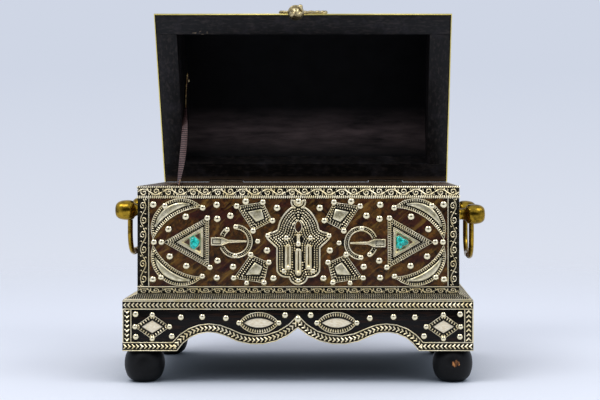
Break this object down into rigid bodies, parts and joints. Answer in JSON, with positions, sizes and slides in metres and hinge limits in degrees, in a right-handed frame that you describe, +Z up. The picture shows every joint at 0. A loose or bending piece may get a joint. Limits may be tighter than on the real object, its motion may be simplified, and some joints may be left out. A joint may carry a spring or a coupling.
{
  "type": "inlaid wooden box",
  "caption": "Domed-lid wooden chest on a scalloped plinth with bun feet, clad in embossed metal strips, inlaid plates and nails, with hinged lid, drop pull and side bail handles.",
  "frame": {"origin": "on the floor, under the middle of the case", "axes": "+X to the right of someone facing the front, +Y to the rear, +Z up"},
  "size_m": [0.356, 0.2482, 0.3611],
  "materials": {
    "black_wood": "satin",
    "burl_field": "gloss",
    "brown_ground": "matte",
    "silver_strip": "embossed",
    "silver_plate": "chased",
    "plain_silver": "satin",
    "bone": "polished",
    "turquoise": "polished",
    "nail": "polished",
    "brass": "polished",
    "pale_brass": "worn",
    "leather": "worn"
  },
  "bodies": {
    "case": {"case_front_board": "black_wood", "case_rear_board": "black_wood", "case_left_board": "black_wood", "case_right_board": "black_wood", "case_floor_board": "black_wood", "front_strips": "silver_strip", "rear_strips": "silver_strip", "side_strips": "silver_strip", "front_field": "burl_field", "outer_fields": "burl_field", "crescent_frames": "silver_plate", "crescent_inlays": "plain_silver", "kite_frames": "silver_plate", "kite_plates": "plain_silver", "triangle_frames": "silver_plate", "triangle_bezels": "silver_plate", "triangle_grounds": "brown_ground", "turquoise_stones": "turquoise", "brooch_rings": "silver_plate", "brooch_pins": "silver_plate", "hand_plate": "silver_plate", "front_nails": "nail", "plinth_front_apron": "black_wood", "plinth_rear_apron": "black_wood", "plinth_left_apron": "black_wood", "plinth_right_apron": "black_wood", "plinth_top_board": "black_wood", "bevel_strips": "silver_strip", "apron_front_strips": "silver_strip", "apron_rear_strips": "silver_strip", "apron_side_strips": "silver_strip", "apron_frames": "silver_plate", "apron_bones": "bone", "apron_nails": "nail", "bun_feet": "black_wood", "foot_blocks": "black_wood", "handle_posts": "brass", "hinge_case_leaves": "pale_brass", "hinge_pins": "pale_brass", "strap_case_tack": "pale_brass", "lid_strap": "leather"},
    "lid": {"lid_front_rail": "black_wood", "lid_rear_rail": "black_wood", "lid_left_end": "black_wood", "lid_right_end": "black_wood", "lid_staves": "black_wood", "lid_strips": "silver_strip", "lid_fields": "burl_field", "lid_nails": "nail", "hinge_lid_leaves": "pale_brass", "pull_plate": "pale_brass", "strap_lid_tack": "pale_brass"},
    "pull": {"pull_drop": "pale_brass"},
    "left_handle": {"left_bail": "brass"},
    "right_handle": {"right_bail": "brass"}
  },
  "joints": [
    {"name": "lid_hinge", "type": "hinge", "parent": "case", "child": "lid", "pos_m": [0, 0.094, 0.18215], "axis": [-1, 0, 0], "range_deg": [-65, 0], "deforming": ["lid_strap"]},
    {"name": "pull_hinge", "type": "hinge", "parent": "lid", "child": "pull", "pos_m": [-0.006, 0.02715, 0.35833], "axis": [-1, 0, 0], "range_deg": [0, 140]},
    {"name": "left_bail_hinge", "type": "hinge", "parent": "case", "child": "left_handle", "pos_m": [-0.166, 0, 0.158], "axis": [0, 1, 0], "range_deg": [-16, 165]},
    {"name": "right_bail_hinge", "type": "hinge", "parent": "case", "child": "right_handle", "pos_m": [0.166, 0, 0.154], "axis": [0, -1, 0], "range_deg": [-16, 165]}
  ]
}
